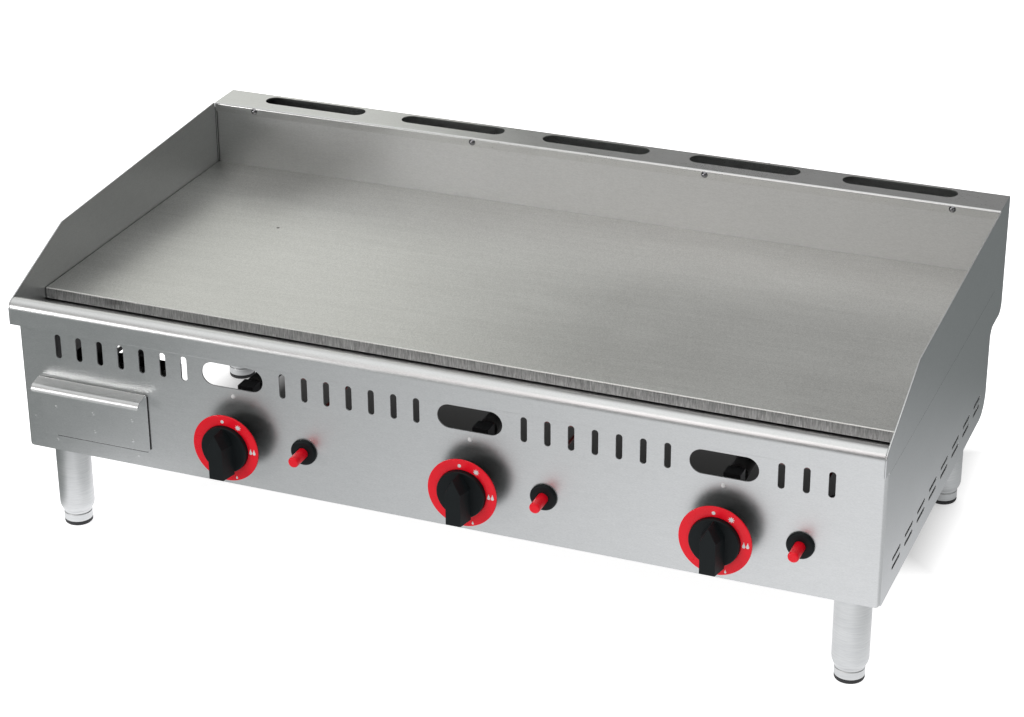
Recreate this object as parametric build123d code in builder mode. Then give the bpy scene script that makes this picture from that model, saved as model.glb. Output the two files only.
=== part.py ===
from build123d import *
from math import asin, cos, radians, sin
import os

os.makedirs("parts", exist_ok=True)

# Flat top gas griddle, in millimetres.
# +X to the right seen from the front, +Y to the rear, +Z up from the floor.
# The origin is on the floor, in the middle of the overall width and depth.

# ---------------------------------------------------------------- frame
panel_y = -221.75            # outer face of the front panel
half_width = 457.0           # centre line to the outer face of a side panel
sheet = 1.5                  # body sheet
inner_x = half_width - sheet
body_bottom = 100.0
seam_z = 242.0               # joint between the side panel and the splash guard
rear_depth = 438.5           # outer face of the rear panel
flue_depth = 488.0           # outer face of the flue back
top_z = 329.6                # top of the flue cap
inside_half = inner_x - 0.1  # half length of the sheets between the side panels
cut = 1.0                    # length of a cut beyond the material

# ---------------------------------------------------------------- front panel
panel_top = 242.0
panel_return = 5.0
panel_bend = 3.5
panel_corner = 5.0
panel_floor = 11.5           # depth of the panel's bottom flange
control_hole = 7.5
igniter_hole = 9.2
drawer_hole_side = 1.5       # drawer opening beyond the pan, each side
drawer_hole_below = 1.4
drawer_hole_above = 2.6
slot_length = 26.8
slot_width = 6.8
slot_z = 221.1
slot_pitch = 24.2
slot_groups = [(-411.7, 7), (-156.5, 7), (101.2, 7), (357.4, 3)]
window_length = 68.0
window_height = 25.5
window_z = 221.3
control_x = [-212.0, 45.0, 302.0]
control_z = 152.2
igniter_x = [x + 76.8 for x in control_x]
igniter_z = 152.2
index_z = 200.0

# ---------------------------------------------------------------- side panel
rear_corner = 25.0
step_radius = 12.0
flue_floor = 196.0
vertical_seam = 440.5
side_slot_length = 31.9
side_slot_height = 4.0
side_slot_first = 55.9
side_slot_pitch = 48.3
side_slot_rows = [121.2, 130.9]
side_slots = 8
side_flange = 10.0
side_flange_depths = (14.0, 405.0)

# ---------------------------------------------------------------- cooking surface
plate_front = 55.2
plate_rear = 442.0
plate_half = 456.4
plate_thickness = 12.0
plate_chamfer = 0.9
plate_corner_relief = 1.1    # clears the side panel's rear upstand
support_depths = (76.0, 432.0)
support_bottom = 214.0
support_ledge = 22.0
plate_top = 257.2
guard_inner = 457.0
guard_outer = 458.5
guard_kink = (98.0, 314.5)
guard_rear = 440.2
guard_nose_angles = (145.0, 108.0)
rail_front = -13.8
rail_radius = 10.0
rail_bottom = 244.3
rail_top = 271.0
trough_top = 243.7
trough_base = trough_top - sheet
trough_rear = 74.0
trough_upstand = 12.0
trough_fold = 9.0
drain_x = -385.0
drain_depth = 32.0
drain_radius = 12.5
chute_bottom = 190.0
chute_wall = 1.5
chute_flange = 9.0

# ---------------------------------------------------------------- flue
flange_front = 440.4
flange_bottom = 319.5
backsplash_bottom = 236.0
cap_bottom = 318.0           # lower edge of the cap's rear flange
cap_bend = 2.5
flue_slot_pitch = 171.4
flue_slot_length = 124.3
flue_slot_width = 22.3
flue_slot_depth = 470.3
flue_screw_x = [-406.5, -135.6, 135.6, 406.5]
flue_screw_z = 324.6
back_seam = 176.0
back_lap = (-9.0, 6.0)       # joggled lap below and above the seam
back_screw_x = [-430.0, -215.0, 0.0, 215.0, 430.0]
back_screw_z = 171.5
flue_screw_head = (3.8, 2.4)     # head radius and height
back_screw_head = (4.0, 2.2)
screw_radius = 2.0
screw_hole = 2.1
screw_shank = 5.0
heel_sweep = 50.0            # degrees of the rear panel's bottom bend

# ---------------------------------------------------------------- legs
leg_x = 424.7
leg_depths = [30.5, 411.0]
leg_radius = 18.3
leg_wall = 1.5
leg_swell = 26.5             # height where the leg's foot curve reaches the full radius
leg_plug_top = 31.0
leg_lip = (0.4, 2.5)
leg_plate_inner = 400.0
leg_plate_outer = 452.0
leg_plate_thickness = 3.0
leg_plate_depths = [(12.5, 54.5), (387.0, 428.0)]
foot_radius = 15.0
foot_chamfer = 0.8
foot_lower_set_in = 0.2
pad_height = 5.0
pad_round = (2.2, 2.6)
pad_draft = 0.1
foot_top = 14.0
stud_radius = 5.0
stud_top = 67.5
stud_chamfer = (1.0, 1.5)
running_clearance = 0.05
body_gap = 0.3

# ---------------------------------------------------------------- drawer
drawer_left = -437.0
drawer_right = -311.5
drawer_bottom = 118.5
drawer_top = 184.5
lip_front = (-18.0, 180.8)
lip_end = (-19.2, 174.4)
lip_bends = [2.6, 6.0]
lip_end_radius = 2.4
drawer_corner = 4.0
pan_left = -429.5
pan_right = -318.5
pan_rear = 74.5
pan_bottom = 121.4
pan_top = 174.0
pan_sheet = 1.2
drawer_gap = 0.4
housing_side_gap = 2.5
housing_rear = 79.0
housing_bottom = 119.5
housing_top = 183.0
runner_width = 12.0
runner_top = 121.0
drawer_face = -drawer_gap - sheet / 2    # middle of the drawer front's sheet

# ---------------------------------------------------------------- knob
flange_radius = 36.2
flange_rear_radius = 35.4
flange_rear = -18.2
ring_seat = -20.0
ring_front = -22.0
shank_front_radius = 26.0
shank_rear_radius = 22.5
shank_rear = -6.0
shank_wall = 2.5
bush_radius = 9.0
bush_root = -16.0
hub_radius = 25.0
hub_front = -27.0
hub_chamfer = 0.9
grip_front = -44.5
grip_half_length = 24.7
grip_base_half = 11.5
grip_front_half = 7.75
grip_base_shoulder = 8.5
grip_front_shoulder = 9.5
spindle_radius = 4.0
spindle_flat = 2.5
spindle_tip = -32.0
spindle_flat_end = -2.0
spindle_rear = 30.0
socket_end = -36.0
socket_mouth = -5.0
index_dot = (2.4, 1.7)       # radius and height

# ---------------------------------------------------------------- igniter
button_tip = -26.0
button_rear = 3.0
button_radius = 5.6
button_round = 2.0
bezel_radius = 13.8
bezel_front = -4.0
bezel_bore = 5.9
bezel_round = [(2.4, 0.0), (0.7, 0.8), (0.0, 2.6)]
barrel_radius = 9.0
barrel_rear = 48.0
bore_rear = 14.0
nut_front = 1.5
nut_rear = 6.5
nut_radius = 13.5

# ---------------------------------------------------------------- gas train
valve_half = 13.0
valve_front = 14.0
valve_rear = 50.0
valve_collar = (10.0, 4.0)   # radius and front depth
valve_port = (7.0, 56.0)     # radius and rear depth
valve_bore_end = 31.0
outlet_depth = 34.0
outlet_radius = 6.0
outlet_top = 172.0
elbow_riser_top = 182.0
elbow_half = 8.5
elbow_depths = (26.0, 42.0)
elbow_heights = (181.0, 199.0)
orifice_radius = 5.5
orifice_rear = 51.0
manifold_ends = (-240.0, 340.0)
manifold_bore_ends = (-236.0, 341.0)
coupling_ends = (322.0, 358.0)
coupling_wall = 3.0
inlet_nut_radius = 22.0
inlet_nut_thickness = 7.0
pipe_radius = 13.35
pipe_bore = 10.5
pipe_depth = 67.0
inlet_x = 400.0
inlet_bend = 38.0
inlet_end = 478.0
mixer_z = 190.0
burner_z = 203.0
burner_radius = 13.0
burner_half_span = 60.0
burner_front = 128.0
burner_rear = 405.0
burner_wall = 2.5
mixer_radius = 10.0
mixer_bore = 7.5
mixer_front = 46.0
port_radius = 2.0
port_first = 150.0
port_pitch = 15.0
ports_per_bar = 17
burner_rail_z = 187.0
burner_rail_width = 18.0
burner_rail_depths = [150.0, 380.0]
thread_radius = 13.1         # turned end of the inlet pipe
thread_length = 20.0
electrode_offset = 16.0
electrode_depth = 104.0
electrode_levels = (192.0, 214.0, 226.0)     # foot, top of the ceramic, tip
ceramic_radius = 4.0
electrode_radius = 1.2
lead_depth = 42.0
lead_level = 178.0
lead_radius = 1.6
lead_bend = 5.0


def face_plane(depth):
    """Plane facing the user, at a depth behind the front panel's face."""
    return Plane(origin=(0, panel_y + depth, 0), x_dir=(1, 0, 0), z_dir=(0, -1, 0))


def side_plane(x):
    """Plane across the width; local x is the depth behind the front face."""
    return Plane(origin=(x, panel_y, 0), x_dir=(0, 1, 0), z_dir=(1, 0, 0))


def level_plane(z):
    """Level plane; local y is the depth behind the front face."""
    return Plane(origin=(0, panel_y, z), x_dir=(1, 0, 0), z_dir=(0, 0, 1))


def upright_plane(x, depth):
    """Upright plane through a leg's centre line, for turned sections."""
    return Plane(origin=(x, panel_y + depth, 0), x_dir=(1, 0, 0), z_dir=(0, -1, 0))


def axle_plane(x, z):
    """Upright plane through a control's centre line; local x is the depth, local y points down."""
    return Plane(origin=(x, panel_y, z), x_dir=(0, 1, 0), z_dir=(0, 0, 1))


def block(x0, x1, d0, d1, z0, z1, mode=Mode.ADD):
    """Rectangular bar between two widths, two depths and two heights."""
    with Locations(((x0 + x1) / 2, panel_y + (d0 + d1) / 2, (z0 + z1) / 2)):
        Box(x1 - x0, d1 - d0, z1 - z0, mode=mode)


def rod(x, z, radius, d0, d1, mode=Mode.ADD):
    """Round bar running front to back."""
    with BuildSketch(face_plane(d1)) as round_section:
        with Locations((x, z)):
            Circle(radius)
    extrude(round_section.sketch, amount=d1 - d0, mode=mode)


def post(x, depth, radius, z0, z1, mode=Mode.ADD):
    """Upright round bar."""
    with BuildSketch(level_plane(z0)) as round_section:
        with Locations((x, depth)):
            Circle(radius)
    extrude(round_section.sketch, amount=z1 - z0, mode=mode)


def arc_point(centre, radius, angle):
    return (centre[0] + radius * cos(radians(angle)), centre[1] + radius * sin(radians(angle)))


# ================================================================ front panel
with BuildPart() as front_panel:
    with BuildSketch(level_plane(body_bottom)) as panel_plan:
        with Locations((0, panel_return / 2)):
            Rectangle(2 * half_width, panel_return)
        fillet(panel_plan.vertices().group_by(Axis.Y)[0], panel_bend)
        with Locations((0, sheet + panel_return / 2)):
            Rectangle(2 * inner_x, panel_return, mode=Mode.SUBTRACT)
    extrude(amount=panel_top - body_bottom)
    block(-inner_x, inner_x, sheet, panel_floor, body_bottom, body_bottom + sheet)
    with BuildSketch(face_plane(-1)) as panel_front:
        with Locations((0, (body_bottom + panel_top) / 2)):
            Rectangle(2 * half_width, panel_top - body_bottom)
        fillet(panel_front.vertices().group_by(Axis.Y)[0], panel_corner)
    extrude(amount=-20, mode=Mode.INTERSECT)
    with BuildSketch(face_plane(-1)):
        for first_x, count in slot_groups:
            with Locations(*[(first_x + i * slot_pitch, slot_z) for i in range(count)]):
                SlotOverall(slot_length, slot_width, rotation=90)
        with Locations(*[(x, window_z) for x in control_x]):
            SlotOverall(window_length, window_height)
        with Locations(*[(x, control_z) for x in control_x]):
            Circle(control_hole)
        with Locations(*[(x, igniter_z) for x in igniter_x]):
            Circle(igniter_hole)
        with Locations((pan_left - drawer_hole_side, pan_bottom - drawer_hole_below)):
            Rectangle(pan_right - pan_left + 2 * drawer_hole_side,
                      pan_top - pan_bottom + drawer_hole_below + drawer_hole_above,
                      align=(Align.MIN, Align.MIN))
    extrude(amount=-4, mode=Mode.SUBTRACT)


# ================================================================ side panels
def side_panel(x_from):
    step_centre = (rear_depth + step_radius, flue_floor - step_radius)
    heel_centre = (rear_depth - rear_corner, body_bottom + rear_corner)
    flue_centre = (flue_depth - step_radius, flue_floor + step_radius)
    side_top = top_z - sheet
    with BuildSketch(side_plane(x_from)) as side_outline:
        with BuildLine():
            Line((panel_return, body_bottom), (heel_centre[0], body_bottom))
            ThreePointArc((heel_centre[0], body_bottom), arc_point(heel_centre, rear_corner, -45),
                          (rear_depth, heel_centre[1]))
            Line((rear_depth, heel_centre[1]), (rear_depth, step_centre[1]))
            ThreePointArc((rear_depth, step_centre[1]), arc_point(step_centre, step_radius, 135),
                          (step_centre[0], flue_floor))
            Line((step_centre[0], flue_floor), (flue_centre[0], flue_floor))
            ThreePointArc((flue_centre[0], flue_floor), arc_point(flue_centre, step_radius, -45),
                          (flue_depth, flue_centre[1]))
            Polyline((flue_depth, flue_centre[1]), (flue_depth, side_top), (vertical_seam, side_top),
                     (vertical_seam, seam_z), (panel_return, seam_z), (panel_return, body_bottom))
        make_face()
        for row in side_slot_rows:
            with Locations(*[(side_slot_first + i * side_slot_pitch, row) for i in range(side_slots)]):
                SlotOverall(side_slot_length, side_slot_height, mode=Mode.SUBTRACT)
    extrude(side_outline.sketch, amount=sheet)


with BuildPart() as left_side_panel:
    side_panel(-half_width)
    block(-inner_x, -inner_x + side_flange, *side_flange_depths, body_bottom, body_bottom + sheet)

with BuildPart() as right_side_panel:
    side_panel(inner_x)
    block(inner_x - side_flange, inner_x, *side_flange_depths, body_bottom, body_bottom + sheet)

# ================================================================ rear panel and flue
with BuildPart() as rear_panel:
    heel = (rear_depth - rear_corner, body_bottom + rear_corner)
    heel_inner = rear_corner - sheet
    with BuildSketch(side_plane(-inside_half)):
        with BuildLine():
            ThreePointArc(arc_point(heel, rear_corner, -heel_sweep),
                          arc_point(heel, rear_corner, -heel_sweep / 2), (rear_depth, heel[1]))
            Polyline((rear_depth, heel[1]), (rear_depth, back_seam), (rear_depth - sheet, back_seam),
                     (rear_depth - sheet, heel[1]))
            ThreePointArc((rear_depth - sheet, heel[1]), arc_point(heel, heel_inner, -heel_sweep / 2),
                          arc_point(heel, heel_inner, -heel_sweep))
            Line(arc_point(heel, heel_inner, -heel_sweep), arc_point(heel, rear_corner, -heel_sweep))
        make_face()
    extrude(amount=2 * inside_half)
    rod(inlet_x, control_z, pipe_radius + 1, rear_depth - 5, rear_depth + 5, mode=Mode.SUBTRACT)
    for x in back_screw_x:
        rod(x, back_screw_z, screw_hole, rear_depth - 5, rear_depth + 5, mode=Mode.SUBTRACT)

with BuildPart() as flue_back:
    step = (rear_depth + step_radius, flue_floor - step_radius)
    outer = (flue_depth - step_radius, flue_floor + step_radius)
    with BuildSketch(side_plane(-inside_half)):
        with BuildLine():
            Line((rear_depth, back_seam), (rear_depth, step[1]))
            ThreePointArc((rear_depth, step[1]), arc_point(step, step_radius, 135), (step[0], flue_floor))
            Line((step[0], flue_floor), (outer[0], flue_floor))
            ThreePointArc((outer[0], flue_floor), arc_point(outer, step_radius, -45), (flue_depth, outer[1]))
            Polyline((flue_depth, outer[1]), (flue_depth, cap_bottom), (flue_depth - sheet, cap_bottom),
                     (flue_depth - sheet, outer[1]))
            ThreePointArc((flue_depth - sheet, outer[1]), arc_point(outer, step_radius - sheet, -45),
                          (outer[0], flue_floor + sheet))
            Line((outer[0], flue_floor + sheet), (step[0], flue_floor + sheet))
            ThreePointArc((step[0], flue_floor + sheet), arc_point(step, step_radius + sheet, 135),
                          (rear_depth - sheet, step[1]))
            Polyline((rear_depth - sheet, step[1]), (rear_depth - sheet, back_seam), (rear_depth, back_seam))
        make_face()
    extrude(amount=2 * inside_half)
    block(-inside_half, inside_half, rear_depth - 2 * sheet, rear_depth - sheet,
          back_seam + back_lap[0], back_seam + back_lap[1])
    for x in back_screw_x:
        rod(x, back_screw_z, screw_hole, rear_depth - 5, rear_depth + 5, mode=Mode.SUBTRACT)

with BuildPart() as backsplash:
    block(-inside_half, inside_half, plate_rear, plate_rear + sheet, backsplash_bottom, top_z - sheet)
    for x in flue_screw_x:
        rod(x, flue_screw_z, screw_hole, plate_rear - 2, plate_rear + 5, mode=Mode.SUBTRACT)

with BuildPart() as flue_cap:
    with BuildSketch(side_plane(-half_width)) as cap_profile:
        with Locations(((flange_front + flue_depth) / 2, (cap_bottom + top_z) / 2)):
            Rectangle(flue_depth - flange_front, top_z - cap_bottom)
        fillet(cap_profile.vertices().group_by(Axis.Y)[-1], cap_bend)
        with Locations(((flange_front + flue_depth) / 2, (cap_bottom + top_z) / 2 - sheet)):
            Rectangle(flue_depth - flange_front - 2 * sheet, top_z - cap_bottom, mode=Mode.SUBTRACT)
    extrude(amount=2 * half_width)
    block(-half_width, half_width, flange_front - cut, flange_front + 2 * sheet,
          cap_bottom - cut, flange_bottom, mode=Mode.SUBTRACT)
    for x0, x1 in ((-half_width - cut, -inside_half), (inside_half, half_width + cut)):
        block(x0, x1, flange_front - cut, flue_depth + cut, cap_bottom - cut, top_z - sheet,
              mode=Mode.SUBTRACT)
    with BuildSketch(level_plane(top_z + 1)):
        with Locations(*[(i * flue_slot_pitch, flue_slot_depth) for i in range(-2, 3)]):
            SlotOverall(flue_slot_length, flue_slot_width)
    extrude(amount=-4, mode=Mode.SUBTRACT)
    for x in flue_screw_x:
        rod(x, flue_screw_z, screw_hole, flange_front - 2, flange_front + 4, mode=Mode.SUBTRACT)


def dome_head(x, z, face_depth, outward, head_radius, head_height):
    """Spherical cap on a sheet face; outward is -1 towards the front and +1 towards the rear."""
    head_end = face_depth + outward * head_height
    cap_radius = (head_radius ** 2 + head_height ** 2) / (2 * head_height)
    centre = face_depth + outward * (head_height - cap_radius)
    half_angle = asin(head_radius / cap_radius) / 2
    middle = (centre + outward * cap_radius * cos(half_angle), cap_radius * sin(half_angle))
    with BuildSketch(Plane(origin=(x, panel_y, z), x_dir=(0, 1, 0), z_dir=(1, 0, 0))) as head_outline:
        with BuildLine():
            Polyline((head_end, 0), (face_depth, 0), (face_depth, head_radius))
            ThreePointArc((face_depth, head_radius), middle, (head_end, 0))
        make_face()
    revolve(head_outline.sketch, axis=Axis((x, panel_y, z), (0, 1, 0)))


def dome_screw(x, z, face_depth, outward, head_radius, head_height):
    """Dome head with a short shank through the sheets behind it."""
    shank_ends = sorted((face_depth, face_depth - outward * screw_shank))
    rod(x, z, screw_radius, shank_ends[0], shank_ends[1])
    dome_head(x, z, face_depth, outward, head_radius, head_height)


with BuildPart() as flue_screws:
    for x in flue_screw_x:
        dome_screw(x, flue_screw_z, flange_front, -1, *flue_screw_head)

with BuildPart() as rear_screws:
    for x in back_screw_x:
        dome_screw(x, back_screw_z, rear_depth, 1, *back_screw_head)

# ================================================================ front rail and trough
with BuildPart() as front_rail:
    crown = (rail_front + rail_radius, rail_top - rail_radius)
    rail_back = rail_front + 2 * rail_radius
    with BuildSketch(side_plane(-guard_inner)):
        with BuildLine():
            Line((rail_front, rail_bottom), (rail_front, crown[1]))
            ThreePointArc((rail_front, crown[1]), (crown[0], rail_top), (rail_back, crown[1]))
            Polyline((rail_back, crown[1]), (rail_back, trough_top), (rail_back - sheet, trough_top),
                     (rail_back - sheet, crown[1]))
            ThreePointArc((rail_back - sheet, crown[1]), (crown[0], rail_top - sheet),
                          (rail_front + sheet, crown[1]))
            Polyline((rail_front + sheet, crown[1]), (rail_front + sheet, rail_bottom + sheet),
                     (-sheet, rail_bottom + sheet), (-sheet, rail_bottom), (rail_front, rail_bottom))
        make_face()
    extrude(amount=2 * guard_inner)

with BuildPart() as grease_trough:
    block(-guard_inner, guard_inner, 0, trough_rear, trough_base, trough_top)
    block(-guard_inner, guard_inner, rail_back, rail_back + sheet, trough_top, trough_top + trough_upstand)
    block(-inside_half, inside_half, trough_rear - sheet, trough_rear, trough_base - trough_fold, trough_base)
    post(drain_x, drain_depth, drain_radius, trough_base - cut, trough_top + cut, mode=Mode.SUBTRACT)

with BuildPart() as grease_chute:
    post(drain_x, drain_depth, drain_radius + chute_wall, chute_bottom, trough_base)
    post(drain_x, drain_depth, drain_radius + chute_flange, trough_base - sheet, trough_base)
    post(drain_x, drain_depth, drain_radius, chute_bottom - cut, trough_base + cut, mode=Mode.SUBTRACT)

with BuildPart() as griddle_plate:
    block(-plate_half, plate_half, plate_front, plate_rear, plate_top - plate_thickness, plate_top)
    front_edges = griddle_plate.edges().filter_by(Axis.X).group_by(Axis.Y)[0]
    chamfer(front_edges.group_by(Axis.Z)[-1], plate_chamfer)
    for x0, x1 in ((-plate_half - cut, -plate_half + plate_corner_relief),
                   (plate_half - plate_corner_relief, plate_half + cut)):
        block(x0, x1, guard_rear, plate_rear + cut, plate_top - plate_thickness - cut, plate_top + cut,
              mode=Mode.SUBTRACT)

with BuildPart() as plate_supports:
    for side in (-1, 1):
        outer_x = side * inside_half
        leg_in = side * (inside_half - sheet)
        ledge_in = side * (inside_half - support_ledge)
        ledge_top = plate_top - plate_thickness
        block(*sorted((outer_x, leg_in)), *support_depths, support_bottom, ledge_top)
        block(*sorted((leg_in, ledge_in)), *support_depths, ledge_top - sheet, ledge_top)


# ================================================================ splash guards
def splash_guard(x_from):
    crown = (rail_front + rail_radius, rail_top - rail_radius)
    nose = [arc_point(crown, rail_radius, angle) for angle in guard_nose_angles]
    with BuildSketch(side_plane(x_from)) as guard_outline:
        with BuildLine():
            Line((rail_front, rail_bottom), (rail_front, crown[1]))
            ThreePointArc((rail_front, crown[1]), *nose)
            Polyline(nose[1], guard_kink, (guard_rear, top_z), (guard_rear, seam_z), (0, seam_z),
                     (0, rail_bottom), (rail_front, rail_bottom))
        make_face()
    extrude(guard_outline.sketch, amount=guard_outer - guard_inner)


with BuildPart() as left_splash_guard:
    splash_guard(-guard_outer)

with BuildPart() as right_splash_guard:
    splash_guard(guard_inner)

# ================================================================ burner rails
with BuildPart() as burner_rails:
    for depth in burner_rail_depths:
        block(-inside_half, inside_half, depth, depth + burner_rail_width,
              burner_rail_z, burner_z - burner_radius)

# ================================================================ legs and feet
with BuildPart() as leg_plates:
    for side in (-1, 1):
        x0, x1 = sorted((side * leg_plate_inner, side * leg_plate_outer))
        for front, rear in leg_plate_depths:
            block(x0, x1, front, rear, body_bottom + sheet, body_bottom + sheet + leg_plate_thickness)


def leg_tube(x, depth):
    wall_in = leg_radius - leg_wall
    bore = stud_radius + running_clearance
    tube_bottom = foot_top + body_gap
    lip_top = (foot_radius + leg_lip[0], tube_bottom + leg_lip[1])
    with BuildSketch(upright_plane(x, depth)) as turned:
        with BuildLine():
            Polyline((bore, tube_bottom), (foot_radius, tube_bottom), lip_top)
            Spline(lip_top, (leg_radius, leg_swell), tangents=[(0.8, 0.9), (0, 1)])
            Polyline((leg_radius, leg_swell), (leg_radius, body_bottom + sheet),
                     (wall_in, body_bottom + sheet), (wall_in, leg_plug_top), (bore, leg_plug_top),
                     (bore, tube_bottom))
        make_face()
    revolve(turned.sketch, axis=Axis((x, panel_y + depth, 0), (0, 0, 1)))


def foot(x, depth):
    with BuildSketch(upright_plane(x, depth)) as turned:
        with BuildLine():
            Polyline((0, pad_height), (foot_radius - foot_lower_set_in, pad_height),
                     (foot_radius, pad_height + foot_chamfer), (foot_radius, foot_top - foot_chamfer),
                     (foot_radius - foot_chamfer, foot_top), (stud_radius, foot_top),
                     (stud_radius, stud_top - stud_chamfer[1]), (stud_radius - stud_chamfer[0], stud_top),
                     (0, stud_top), (0, pad_height))
        make_face()
    revolve(turned.sketch, axis=Axis((x, panel_y + depth, 0), (0, 0, 1)))


def foot_pad(x, depth):
    round_start = (foot_radius - pad_round[0], 0)
    round_middle = (foot_radius - pad_round[0] / 3, pad_round[1] / 3.5)
    round_end = (foot_radius, pad_round[1])
    with BuildSketch(upright_plane(x, depth)) as turned:
        with BuildLine():
            Polyline((0, pad_height), (0, 0), round_start)
            ThreePointArc(round_start, round_middle, round_end)
            Polyline(round_end, (foot_radius - pad_draft, pad_height), (0, pad_height))
        make_face()
    revolve(turned.sketch, axis=Axis((x, panel_y + depth, 0), (0, 0, 1)))


with BuildPart() as leg_front_left:
    leg_tube(-leg_x, leg_depths[0])

with BuildPart() as leg_front_right:
    leg_tube(leg_x, leg_depths[0])

with BuildPart() as leg_rear_left:
    leg_tube(-leg_x, leg_depths[1])

with BuildPart() as leg_rear_right:
    leg_tube(leg_x, leg_depths[1])

with BuildPart() as foot_front_left:
    foot(-leg_x, leg_depths[0])

with BuildPart() as foot_front_right:
    foot(leg_x, leg_depths[0])

with BuildPart() as foot_rear_left:
    foot(-leg_x, leg_depths[1])

with BuildPart() as foot_rear_right:
    foot(leg_x, leg_depths[1])

with BuildPart() as pad_front_left:
    foot_pad(-leg_x, leg_depths[0])

with BuildPart() as pad_front_right:
    foot_pad(leg_x, leg_depths[0])

with BuildPart() as pad_rear_left:
    foot_pad(-leg_x, leg_depths[1])

with BuildPart() as pad_rear_right:
    foot_pad(leg_x, leg_depths[1])

# ================================================================ grease drawer
with BuildPart() as drawer_housing:
    wall_left = pan_left - housing_side_gap
    wall_right = pan_right + housing_side_gap
    rear_wall = housing_rear - sheet
    block(wall_left - sheet, wall_left, sheet, housing_rear, housing_bottom, housing_top)
    block(wall_right, wall_right + sheet, sheet, housing_rear, housing_bottom, housing_top)
    block(wall_left, wall_right, rear_wall, housing_rear, housing_bottom, housing_top)
    block(wall_left, wall_left + runner_width, sheet, rear_wall, housing_bottom, runner_top)
    block(wall_right - runner_width, wall_right, sheet, rear_wall, housing_bottom, runner_top)

with BuildPart() as drawer_pan:
    block(pan_left, pan_right, -drawer_gap, pan_rear, pan_bottom, pan_top)
    block(pan_left + pan_sheet, pan_right - pan_sheet, -drawer_gap + pan_sheet, pan_rear - pan_sheet,
          pan_bottom + pan_sheet, pan_top + cut, mode=Mode.SUBTRACT)

with BuildPart() as drawer_front:
    with BuildSketch(side_plane(drawer_left)):
        with BuildLine():
            FilletPolyline((drawer_face, drawer_bottom), (drawer_face, drawer_top), lip_front, lip_end,
                           radius=lip_bends)
        trace(line_width=sheet)
    extrude(amount=drawer_right - drawer_left)
    lip_ends = drawer_front.edges().filter_by(
        lambda edge: abs(edge.length - sheet) < 0.05 and edge.center().Y < panel_y + lip_front[0] + sheet)
    fillet(lip_ends, lip_end_radius)
    lower_corners = drawer_front.edges().filter_by(Axis.Y).group_by(Axis.Z)[0]
    fillet(lower_corners, drawer_corner)


# ================================================================ knobs and spindles
def knob_body(x):
    axis_line = Axis((x, panel_y, control_z), (0, 1, 0))
    with BuildSketch(axle_plane(x, control_z)) as turned:
        with BuildLine():
            Polyline((hub_front, 0), (hub_front, hub_chamfer - hub_radius),
                     (hub_front + hub_chamfer, -hub_radius), (ring_seat, -hub_radius),
                     (ring_seat, -flange_radius), (flange_rear, -flange_rear_radius),
                     (flange_rear, -shank_front_radius),
                     (shank_rear, -shank_rear_radius), (shank_rear, -(shank_rear_radius - shank_wall)),
                     (bush_root, -(shank_front_radius - shank_wall)), (bush_root, -bush_radius),
                     (shank_rear, -bush_radius), (shank_rear, 0), (hub_front, 0))
        make_face()
    revolve(turned.sketch, axis=axis_line)
    with BuildSketch(face_plane(hub_front)) as grip_base:
        with Locations((x, control_z)):
            Polygon((-grip_base_half, -grip_half_length), (grip_base_half, -grip_half_length),
                    (grip_base_half, grip_base_shoulder), (0, grip_half_length),
                    (-grip_base_half, grip_base_shoulder), align=None)
    with BuildSketch(face_plane(grip_front)) as grip_face:
        with Locations((x, control_z)):
            Polygon((-grip_front_half, -grip_half_length), (grip_front_half, -grip_half_length),
                    (grip_front_half, grip_front_shoulder), (0, grip_half_length),
                    (-grip_front_half, grip_front_shoulder), align=None)
    loft([grip_base.sketch, grip_face.sketch])
    with BuildSketch(face_plane(socket_end)) as socket:
        with Locations((x, control_z)):
            Circle(spindle_radius + running_clearance)
            with Locations((0, spindle_flat + running_clearance)):
                Rectangle(4 * spindle_radius, 2 * spindle_radius, align=(Align.CENTER, Align.MIN),
                          mode=Mode.SUBTRACT)
    extrude(socket.sketch, amount=socket_end - socket_mouth, mode=Mode.SUBTRACT)


def knob_ring(x):
    with BuildSketch(face_plane(ring_seat)) as ring_outline:
        with Locations((x, control_z)):
            Circle(flange_radius)
            Circle(hub_radius, mode=Mode.SUBTRACT)
    extrude(ring_outline.sketch, amount=ring_seat - ring_front)


def valve_spindle(x):
    rod(x, control_z, spindle_radius, spindle_tip, spindle_rear)
    block(x - spindle_radius - cut, x + spindle_radius + cut, spindle_tip - cut, spindle_flat_end,
          control_z + spindle_flat, control_z + spindle_radius + cut, mode=Mode.SUBTRACT)


def gas_valve(x):
    block(x - valve_half, x + valve_half, valve_front, valve_rear,
          control_z - valve_half, control_z + valve_half)
    rod(x, control_z, valve_collar[0], valve_collar[1], valve_front)
    rod(x, control_z, valve_port[0], valve_rear, valve_port[1])
    post(x, outlet_depth, outlet_radius, control_z + valve_half, outlet_top)
    rod(x, control_z, spindle_radius + running_clearance, valve_collar[1] - cut, valve_bore_end,
        mode=Mode.SUBTRACT)


with BuildPart() as knob_left:
    knob_body(control_x[0])

with BuildPart() as knob_centre:
    knob_body(control_x[1])

with BuildPart() as knob_right:
    knob_body(control_x[2])

with BuildPart() as knob_ring_left:
    knob_ring(control_x[0])

with BuildPart() as knob_ring_centre:
    knob_ring(control_x[1])

with BuildPart() as knob_ring_right:
    knob_ring(control_x[2])

with BuildPart() as spindle_left:
    valve_spindle(control_x[0])

with BuildPart() as spindle_centre:
    valve_spindle(control_x[1])

with BuildPart() as spindle_right:
    valve_spindle(control_x[2])

with BuildPart() as gas_valve_left:
    gas_valve(control_x[0])

with BuildPart() as gas_valve_centre:
    gas_valve(control_x[1])

with BuildPart() as gas_valve_right:
    gas_valve(control_x[2])

with BuildPart() as index_dots:
    for x in control_x:
        dome_head(x, index_z, 0, -1, *index_dot)

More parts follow.
